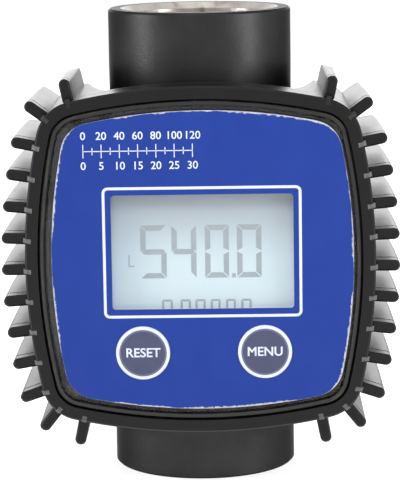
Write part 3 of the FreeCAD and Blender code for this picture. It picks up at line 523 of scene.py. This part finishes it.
# %% Finishes of the nodes
nylon = moulded_plastic("housing_nylon", grey(22), grey(30), 0.3, 0.012, 0.33, 0.27)
satin = moulded_plastic("frame_nylon", grey(10), grey(16), 0.22, 0.006, 0.33, 0.22, True)
rubber = dull_solid("seal_rubber", grey(22), grey(34), 0.7)
steel = worked_metal("bright_steel", grey(168), grey(204), 0.24)
brass = worked_metal("bush_brass", colour(168, 132, 70), colour(214, 182, 110), 0.3)
zinc = worked_metal("zinc_screw", colour(158, 160, 164), colour(200, 202, 206), 0.3)
nickel = worked_metal("nickel_strip", colour(176, 172, 160), colour(206, 202, 192), 0.28)
magnet = worked_metal("plated_magnet", grey(120), grey(150), 0.22)
pale_plastic = dull_solid("cartridge_plastic", colour(206, 202, 190), colour(222, 219, 209),
                          0.42)
rotor_plastic = dull_solid("rotor_plastic", colour(222, 221, 214), colour(236, 235, 230), 0.36)
white_plastic = dull_solid("holder_white", grey(214), grey(228), 0.4)
tray_plastic = dull_solid("tray_black", grey(24), grey(32), 0.45)
chip_plastic = dull_solid("chip_black", grey(20), grey(30), 0.5, 0.2)
sensor_plastic = dull_solid("sensor_black", grey(26), grey(38), 0.4)

FINISHES = {
    "flow_body": coated_tube(), "head_housing": nylon, "front_frame": satin,
    "display_case": glued_case(), "display_lens": clear_lens(), "face_label": printed_label(),
    "lcd_glass": display_glass(), "lcd_holder": white_plastic,
    "lcd_contact_strips": rubber, "circuit_board": printed_board(),
    "board_chips": chip_plastic, "reset_switch_stem": chip_plastic,
    "menu_switch_stem": chip_plastic, "reset_switch": chip_plastic,
    "menu_switch": chip_plastic, "inlet_bearing": brass, "outlet_bearing": brass,
    "inlet_thrust_washer": steel, "outlet_thrust_washer": steel, "rotor_shaft": steel,
    "retaining_ring": steel, "rotor": rotor_plastic, "rotor_magnets": magnet,
    "inlet_straightener": pale_plastic, "outlet_straightener": pale_plastic,
    "chamber_liner": pale_plastic, "chamber_seal": rubber, "frame_gasket": rubber,
    "display_gasket": rubber, "pickup_seal": rubber, "pickup_sensor": sensor_plastic,
    "battery_holder": tray_plastic, "battery_cells": cell_sleeve(),
    "battery_contacts": nickel, "head_screws": zinc, "tube_screws": zinc,
    "reset_key": key_cap("reset_cap", LABEL_MIDDLE_X - KEY_SPACING / 2),
    "menu_key": key_cap("menu_cap", LABEL_MIDDLE_X + KEY_SPACING / 2),
}
for name, node in nodes.items():
    node.data.materials.clear()
    node.data.materials.append(FINISHES[name])
print("finishes given:", len(FINISHES), "of", len(nodes))

# %% [markdown]
# ## Small tools for new pieces
#
# Operators act on whatever is selected, and the loaded nodes are all selected, so each
# new piece starts by deselecting everything. Print is a very thin sheet: it is drawn
# flat, then given 0.02 mm of thickness, so that it neither floats nor flickers.


# %% Tools
INK = 0.02


def deselect():
    if bpy.context.object and bpy.context.object.mode != "OBJECT":
        bpy.ops.object.mode_set(mode="OBJECT")
    bpy.ops.object.select_all(action="DESELECT")


def select(*objects):
    deselect()
    for obj in objects:
        obj.select_set(True)
    bpy.context.view_layer.objects.active = objects[0]


def apply_place(obj):
    select(obj)
    bpy.ops.object.transform_apply(location=True, rotation=True, scale=True)


def outward(obj):
    """Merge doubles and turn all faces outwards."""
    select(obj)
    bpy.ops.object.mode_set(mode="EDIT")
    bpy.ops.mesh.select_all(action="SELECT")
    bpy.ops.mesh.remove_doubles(threshold=1e-7)
    bpy.ops.mesh.normals_make_consistent(inside=False)
    bpy.ops.object.mode_set(mode="OBJECT")


def joined(objects):
    select(*objects)
    bpy.ops.object.join()
    return objects[0]


def finish_piece(obj, name, material, body):
    """Name a piece, give it one material, and let it ride on its body."""
    obj.name = name
    obj.data.name = name
    obj.data.materials.clear()
    obj.data.materials.append(material)
    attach(obj, body)
    print(name, len(obj.data.vertices), "points")
    return obj


# %% [markdown]
# ## Pipe threads
#
# Each port has a one inch parallel pipe thread: eleven turns to the inch, with flanks at
# 55 degrees. The solid has only the plain bore, at the thread's root. Here one section
# of the ridge is drawn, a Screw modifier winds it along the axis, and both ends are
# closed. A tap leaves a ridge that rises out of the wall, so the first and last stretch
# is eased back into it. The second port gets the same thread turned end for end, which
# keeps it right-handed.

# %% Threads
THREAD_PITCH = 25.4 / 11
THREAD_ROOT = 16.8
THREAD_CREST = 15.15
THREAD_STEPS = 72
THREAD_TURNS = 6
THREAD_START = 2.55
THREAD_FOOT = 0.94 * THREAD_PITCH
THREAD_TIP = 0.19 * THREAD_PITCH
EASED_STEPS = 14
EASED_BY = 1.6


def ridge_section():
    """The ridge's four corners as a closed outline in the XZ plane."""
    deselect()
    middle = (THREAD_ROOT + THREAD_CREST) / 2
    bpy.ops.mesh.primitive_plane_add(size=1.0, rotation=(math.pi / 2, 0, 0),
                                     location=(middle * MM, 0, THREAD_START * MM))
    ridge = bpy.context.object
    ridge.scale = ((THREAD_ROOT - THREAD_CREST) * MM, THREAD_FOOT * MM, 1.0)
    apply_place(ridge)
    for corner in ridge.data.vertices:
        if corner.co.x < middle * MM:
            side = 1 if corner.co.z > THREAD_START * MM else -1
            corner.co.z = (THREAD_START + side * THREAD_TIP / 2) * MM
    bpy.ops.object.mode_set(mode="EDIT")
    bpy.ops.mesh.select_all(action="SELECT")
    bpy.ops.mesh.delete(type="ONLY_FACE")
    bpy.ops.object.mode_set(mode="OBJECT")
    return ridge


def wind_thread():
    ridge = ridge_section()
    winding = ridge.modifiers.new("winding", "SCREW")
    winding.steps = winding.render_steps = THREAD_STEPS
    winding.iterations = THREAD_TURNS
    winding.screw_offset = THREAD_PITCH * MM
    bpy.ops.object.modifier_apply(modifier=winding.name)
    select(ridge)
    bpy.ops.object.mode_set(mode="EDIT")
    bpy.ops.mesh.select_all(action="SELECT")
    bpy.ops.mesh.fill_holes(sides=4)
    bpy.ops.object.mode_set(mode="OBJECT")
    return ridge


def ease_ends(ridge):
    """Push the first and last stretch outwards, into the wall."""
    steps = THREAD_TURNS * THREAD_STEPS
    for point in ridge.data.vertices:
        radius = math.hypot(point.co.x, point.co.y)
        past = math.atan2(point.co.y, point.co.x) / math.tau
        turns = round((point.co.z / MM - THREAD_START) / THREAD_PITCH - past) + past
        from_end = min(turns * THREAD_STEPS, steps - turns * THREAD_STEPS)
        push = EASED_BY * max(0.0, 1 - from_end / EASED_STEPS)
        point.co.x *= 1 + push * MM / radius
        point.co.y *= 1 + push * MM / radius
    outward(ridge)
    return ridge


def copy_of(obj):
    twin = obj.copy()
    twin.data = obj.data.copy()
    bpy.context.scene.collection.objects.link(twin)
    return twin


inlet_thread = ease_ends(wind_thread())
outlet_thread = copy_of(inlet_thread)
outlet_thread.rotation_euler = (math.pi, 0, 0)
outlet_thread.location = (0, 0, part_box("flow_body")[1].z)
apply_place(outlet_thread)
for thread, name in ((inlet_thread, "inlet_thread"), (outlet_thread, "outlet_thread")):
    select(thread)
    bpy.ops.object.shade_smooth_by_angle(angle=math.radians(40))
    finish_piece(thread, name, FINISHES["flow_body"], "meter")

# %% [markdown]
# ## Print on the label
#
# A white line frames the display's window. It starts as a plane, its corners are
# rounded with a vertex bevel, an inset makes the line's width, and the middle is
# deleted. A thin extrusion towards the reader gives the ink its body.

# %% Window line
LABEL_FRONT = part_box("face_label")[0].y / MM
GLASS_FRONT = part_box("lcd_glass")[0].y / MM
KEY_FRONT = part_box("reset_key")[0].y / MM
CORNER_SEGMENTS = 6


def white_print(name):
    f = Finish(name)
    base = f.mix(f.noise(0.7, 3.0), colour(218, 225, 246), colour(232, 238, 254))
    return f.done(f.principled(Base_Color=base, Roughness=0.45 + f.noise(0.3) * 0.1,
                               Normal=f.bump(f.noise(0.2), 0.003)))


ink = white_print("white_print")


def flat_plate(x_span, z_span, y, corner=0.0):
    """Upright rectangle facing the reader, with round corners, edit mode left on."""
    deselect()
    x_middle, z_middle = sum(x_span) / 2, sum(z_span) / 2
    bpy.ops.mesh.primitive_plane_add(size=1.0, location=(x_middle * MM, y * MM, z_middle * MM),
                                     rotation=(math.pi / 2, 0, 0))
    plate = bpy.context.object
    plate.scale = ((x_span[1] - x_span[0]) * MM, (z_span[1] - z_span[0]) * MM, 1.0)
    apply_place(plate)
    bpy.ops.object.mode_set(mode="EDIT")
    bpy.ops.mesh.select_all(action="SELECT")
    if corner:
        bpy.ops.mesh.bevel(offset=corner * MM, segments=CORNER_SEGMENTS, affect="VERTICES")
    return plate


def thicken(plate, thickness=INK):
    """Give a flat print its body towards the reader."""
    bpy.ops.object.mode_set(mode="EDIT")
    bpy.ops.mesh.select_all(action="SELECT")
    bpy.ops.mesh.extrude_region_move(
        TRANSFORM_OT_translate={"value": (0, -thickness * MM, 0)})
    bpy.ops.object.mode_set(mode="OBJECT")
    outward(plate)
    return plate


def line_ring(x_span, z_span, y, corner, width):
    plate = flat_plate(x_span, z_span, y, corner)
    bpy.ops.mesh.select_all(action="SELECT")
    bpy.ops.mesh.inset(thickness=width * MM)
    bpy.ops.mesh.delete(type="FACE")
    return thicken(plate)


WINDOW_X, WINDOW_Z = (-21.5, 22.4), (40.1, 69.4)
WINDOW_CORNER = 1.3
WINDOW_LINE = 0.62
window_line = line_ring(WINDOW_X, WINDOW_Z, LABEL_FRONT, WINDOW_CORNER, WINDOW_LINE)
finish_piece(window_line, "window_line", ink, "meter")

# %% [markdown]
# ## Words and numbers
#
# The built-in font is thin, so a small bevel makes its strokes bolder, and the letters are
# then flattened to the thickness of ink. An offset would be bolder too, but it fills the
# gaps of the letter M. A text becomes a mesh before it is stood upright, since its place
# has to be in its points. The keys carry the plain words for what they do.

# %% Words and numbers
CAPITAL_SHARE = 0.72


def word(text, x, z, height, y, bold, width=None):
    """Flat lettering facing the reader; height is that of a capital."""
    deselect()
    bpy.ops.object.text_add()
    obj = bpy.context.object
    obj.data.body = text
    obj.data.size = height / CAPITAL_SHARE * MM
    obj.data.bevel_depth = bold * MM
    obj.data.bevel_resolution = 0
    obj.data.align_x = obj.data.align_y = "CENTER"
    obj.data.resolution_u = 4
    bpy.ops.object.convert(target="MESH")
    obj = bpy.context.object
    stretch = width * MM / obj.dimensions.x if width else 1.0
    obj.scale = (stretch, 1.0, INK * MM / obj.dimensions.z)
    obj.rotation_euler = (math.pi / 2, 0, 0)
    obj.location = (x * MM, (y - INK / 2) * MM, z * MM)
    apply_place(obj)
    outward(obj)
    return obj


KEY_WORD_HEIGHT = 2.05
KEY_WORD_BOLD = 0.06
for name, text, side, width in (("reset", "RESET", -1, 7.6), ("menu", "MENU", 1, 7.76)):
    x = LABEL_MIDDLE_X + side * KEY_SPACING / 2
    lettering = word(text, x, KEY_MIDDLE_Z, KEY_WORD_HEIGHT, KEY_FRONT, KEY_WORD_BOLD, width)
    finish_piece(lettering, name + "_word", ink, name + "_button")

# %% [markdown]
# ## Rings on the keys
#
# The white ring is a printed band too. A circle is filled, inset to the band's width,
# and its middle removed.

# %% Key rings
KEY_RING_OUTSIDE = 5.86


def key_ring(middle_x):
    deselect()
    bpy.ops.mesh.primitive_circle_add(
        vertices=96, radius=KEY_RING_OUTSIDE * MM, fill_type="NGON",
        location=(middle_x * MM, KEY_FRONT * MM, KEY_MIDDLE_Z * MM),
        rotation=(math.pi / 2, 0, 0))
    ring = bpy.context.object
    apply_place(ring)
    bpy.ops.object.mode_set(mode="EDIT")
    bpy.ops.mesh.select_all(action="SELECT")
    bpy.ops.mesh.inset(thickness=(KEY_RING_OUTSIDE - KEY_RING_INSIDE) * MM)
    bpy.ops.mesh.delete(type="FACE")
    return thicken(ring)


for name, side in (("reset", -1), ("menu", 1)):
    ring = key_ring(LABEL_MIDDLE_X + side * KEY_SPACING / 2)
    finish_piece(ring, name + "_ring", ink, name + "_button")

# %% [markdown]
# ## Digits of the display
#
# A digit has seven bars with mitred ends, which leave a hair of clear glass between
# them. One helper makes a thin plate from a plane by moving its four corners to their
# places. The middle bar has two pointed ends, so it is made of two such plates, one on
# either side of its middle line. The display shows a plain number with one decimal. The
# row under it is half hidden by the window's edge.

# %% Digits
BAR = 1.2
BAR_GAP = 0.13
CRYSTAL = 0.01
SEGMENTS = {"5": "afgcd", "4": "fbgc", "0": "abcdef"}
DIGIT_LOW, DIGIT_HIGH = 48.6, 60.5
DIGIT_SPANS = (("5", -13.3, -7.5), ("4", -6.4, -0.9), ("0", 1.0, 6.3), ("0", 8.1, 13.5))


def digit_ink():
    f = Finish("digit_ink")
    base = f.mix(f.noise(1.5, 2.0), colour(184, 194, 203), colour(200, 210, 218))
    return f.done(f.principled(Base_Color=base, Roughness=0.35 + f.noise(0.3) * 0.1))


dark_crystal = digit_ink()


def plate_of(corners):
    """Thin plate on the glass from four (x, z) corners, given round in order."""
    deselect()
    bpy.ops.mesh.primitive_plane_add(size=1.0)
    plate = bpy.context.object
    order = [plate.data.loops[i].vertex_index for i in range(4)]
    for index, (x, z) in zip(order, corners):
        plate.data.vertices[index].co = Vector((x, GLASS_FRONT, z)) * MM
    return thicken(plate, CRYSTAL)


def oblong(x_span, z_span):
    """Corners of an upright oblong for plate_of."""
    (left, right), (low, high) = x_span, z_span
    return [(left, low), (right, low), (right, high), (left, high)]


def digit_bars(digit, left, right, low, high, width):
    middle = (low + high) / 2
    half, gap = width / 2, BAR_GAP
    bars = []
    for name, edge, inward in (("a", high, -width), ("d", low, width)):
        if name in SEGMENTS[digit]:
            bars.append(plate_of([(left + gap, edge), (right - gap, edge),
                                  (right - width - gap, edge + inward),
                                  (left + width + gap, edge + inward)]))
    for name, edge, inward, top in (("f", left, width, True), ("e", left, width, False),
                                    ("b", right, -width, True), ("c", right, -width, False)):
        if name in SEGMENTS[digit]:
            far, near, side = (high, middle, 1) if top else (low, middle, -1)
            bars.append(plate_of([(edge, far - side * gap), (edge, near + side * gap),
                                  (edge + inward, near + side * (gap + half)),
                                  (edge + inward, far - side * (gap + width))]))
    if "g" in SEGMENTS[digit]:
        for side in (-1, 1):
            bars.append(plate_of([(left + gap * 2, middle), (right - gap * 2, middle),
                                  (right - half - gap * 2, middle + side * half),
                                  (left + half + gap * 2, middle + side * half)]))
    return bars


bars = []
for digit, left, right in DIGIT_SPANS:
    bars += digit_bars(digit, left, right, DIGIT_LOW, DIGIT_HIGH, BAR)
bars.append(plate_of(oblong((6.9, 7.8), (DIGIT_LOW, DIGIT_LOW + 0.95))))
finish_piece(joined(bars), "lcd_digits", dark_crystal, "meter")

# %% [markdown]
# A small mark for the unit stands at the left, made of a foot and a stem.

# %% Unit mark beside the digits
UNIT_LEFT, UNIT_LOW, UNIT_BAR = -16.0, 51.2, 0.3
UNIT_RIGHT, UNIT_HIGH = -14.7, 53.9
foot = oblong((UNIT_LEFT, UNIT_RIGHT), (UNIT_LOW, UNIT_LOW + UNIT_BAR))
stem = oblong((UNIT_LEFT, UNIT_LEFT + UNIT_BAR), (UNIT_LOW + UNIT_BAR, UNIT_HIGH))
marks = [plate_of(foot), plate_of(stem)]
finish_piece(joined(marks), "lcd_unit", dark_crystal, "meter")

# %% [markdown]
# Only the upper halves of the small noughts show above the window's edge, so each needs
# three bars: a mitred top and the upper part of either side.

# %% Lower row of small noughts
SMALL_SPANS = ((-8.7, -6.3), (-4.6, -2.3), (-1.3, 1.0), (2.1, 4.3), (5.5, 7.7), (8.9, 11.2))
SMALL_HIGH, SMALL_LOW = 43.8, 41.55
SMALL_BAR = 0.5
bars = []
for left, right in SMALL_SPANS:
    inner_left, inner_right = left + SMALL_BAR, right - SMALL_BAR
    under = SMALL_HIGH - SMALL_BAR
    bars.append(plate_of([(left + 0.1, SMALL_HIGH), (right - 0.1, SMALL_HIGH),
                          (inner_right, under), (inner_left, under)]))
    for outer, inner in ((left, inner_left), (right, inner_right)):
        bars.append(plate_of([(outer, SMALL_HIGH - 0.1), (outer, SMALL_LOW),
                              (inner, SMALL_LOW), (inner, under - 0.06)]))
finish_piece(joined(bars), "lcd_small_row", dark_crystal, "meter")

# %% [markdown]
# ## Scale on the label
#
# Two rows of plain numbers stand above and below a ruled line with ticks, as on the
# dial of any gauge. Each tick is a small printed plate.

# %% Scale
SCALE_LEFT, SCALE_STEP, SCALE_LINE = -25.4, 2.0, 77.4
SCALE_STEPS = 12
SCALE_RIGHT = SCALE_LEFT + SCALE_STEPS * SCALE_STEP
LINE_HALF = 0.1
LONG_TICK, SHORT_TICK = 1.5, 0.8
NUMBER_PLACE, NUMBER_HEIGHT, NUMBER_BOLD = 3.3, 1.75, 0.03


def printed_bar(x_span, z_span):
    return thicken(flat_plate(x_span, z_span, LABEL_FRONT))


marks = [printed_bar((SCALE_LEFT - LINE_HALF, SCALE_RIGHT + LINE_HALF),
                     (SCALE_LINE - LINE_HALF, SCALE_LINE + LINE_HALF))]
for i in range(SCALE_STEPS + 1):
    x = SCALE_LEFT + i * SCALE_STEP
    reach = LONG_TICK if i % 2 == 0 else SHORT_TICK
    marks.append(printed_bar((x - LINE_HALF, x + LINE_HALF),
                             (SCALE_LINE - reach, SCALE_LINE + reach)))
for i in range(0, SCALE_STEPS + 1, 2):
    x = SCALE_LEFT + i * SCALE_STEP
    for number, side in ((10 * i, 1), (5 * i // 2, -1)):
        marks.append(word(str(number), x, SCALE_LINE + side * NUMBER_PLACE, NUMBER_HEIGHT,
                          LABEL_FRONT, NUMBER_BOLD))
finish_piece(joined(marks), "label_scale", ink, "meter")

# %% [markdown]
# ## Floor and light
#
# The part stands on a plain pale floor in an even studio. For the camera, and in
# mirrors, floor and background are white. The lamps are large and soft: one overhead
# in front, and two tall ones at the sides that draw the soft upright highlights on the
# tube.


# %% Floor
FLOOR_SIZE = 6.0
FLOOR_DROP = 0.2 * MM
WHITE = (1.0, 1.0, 1.0, 1.0)


def studio_floor():
    deselect()
    bpy.ops.mesh.primitive_plane_add(size=FLOOR_SIZE, location=(0, 0, -FLOOR_DROP))
    floor = bpy.context.object
    floor.name = "floor"
    f = Finish("floor")
    rays = f.node("ShaderNodeLightPath", {}, {}).socket.node
    camera, glossy, through = (Link(f, rays.outputs[name]) for name in (
        "Is Camera Ray", "Is Glossy Ray", "Is Transmission Ray"))
    seen = camera.most(glossy).most(through)
    plain = f.node("ShaderNodeBsdfDiffuse", {}, {"Color": (0.8, 0.8, 0.8, 1.0)})
    glow = f.node("ShaderNodeEmission", {}, {"Color": WHITE, "Strength": 0.8})
    both = f.node("ShaderNodeAddShader", {}, [plain, glow])
    floor.data.materials.append(f.done(f.node("ShaderNodeMixShader", {}, [seen, plain, both])))


studio_floor()


# %% [markdown]
# The world has two strengths: a dim room that lights the part, and plain white for rays
# that the eye sees directly, in a mirror or through glass.

# %% World and lamps
ROOM_LIGHT = 0.25
LAMP_AIM = Vector((0, 0, 0.055))


def background(tree, strength):
    node = tree.nodes.new("ShaderNodeBackground")
    node.inputs["Color"].default_value = WHITE
    node.inputs["Strength"].default_value = strength
    return node.outputs[0]


def either(tree, a, b):
    node = tree.nodes.new("ShaderNodeMath")
    node.operation = "MAXIMUM"
    tree.links.new(a, node.inputs[0])
    tree.links.new(b, node.inputs[1])
    return node.outputs[0]


def studio_world():
    world = bpy.data.worlds.new("studio")
    bpy.context.scene.world = world
    world.use_nodes = True
    tree = world.node_tree
    tree.nodes.clear()
    rays = tree.nodes.new("ShaderNodeLightPath").outputs
    seen = either(tree, rays["Is Camera Ray"], rays["Is Glossy Ray"])
    seen = either(tree, seen, rays["Is Transmission Ray"])
    choice = tree.nodes.new("ShaderNodeMixShader")
    tree.links.new(seen, choice.inputs[0])
    tree.links.new(background(tree, ROOM_LIGHT), choice.inputs[1])
    tree.links.new(background(tree, 1.0), choice.inputs[2])
    output = tree.nodes.new("ShaderNodeOutputWorld")
    tree.links.new(choice.outputs[0], output.inputs["Surface"])


def softbox(name, place, size, power):
    data = bpy.data.lights.new(name, "AREA")
    data.shape = "RECTANGLE"
    data.size, data.size_y = size
    data.energy = power
    lamp = bpy.data.objects.new(name, data)
    bpy.context.scene.collection.objects.link(lamp)
    lamp.location = place
    aim = LAMP_AIM - Vector(place)
    lamp.rotation_euler = aim.to_track_quat("-Z", "Y").to_euler()
    lamp.visible_camera = False
    print(name, power, "W")


studio_world()
softbox("overhead_softbox", (0.0, -0.42, 0.64), (0.36, 0.2), 3.2)
softbox("left_softbox", (-0.66, -0.2, 0.12), (0.2, 0.5), 3.4)
softbox("right_softbox", (0.61, -0.3, 0.12), (0.2, 0.5), 3.4)
softbox("rear_softbox", (0.0, 0.9, 0.36), (0.8, 0.5), 2.5)
bpy.context.scene.view_settings.view_transform = "Standard"
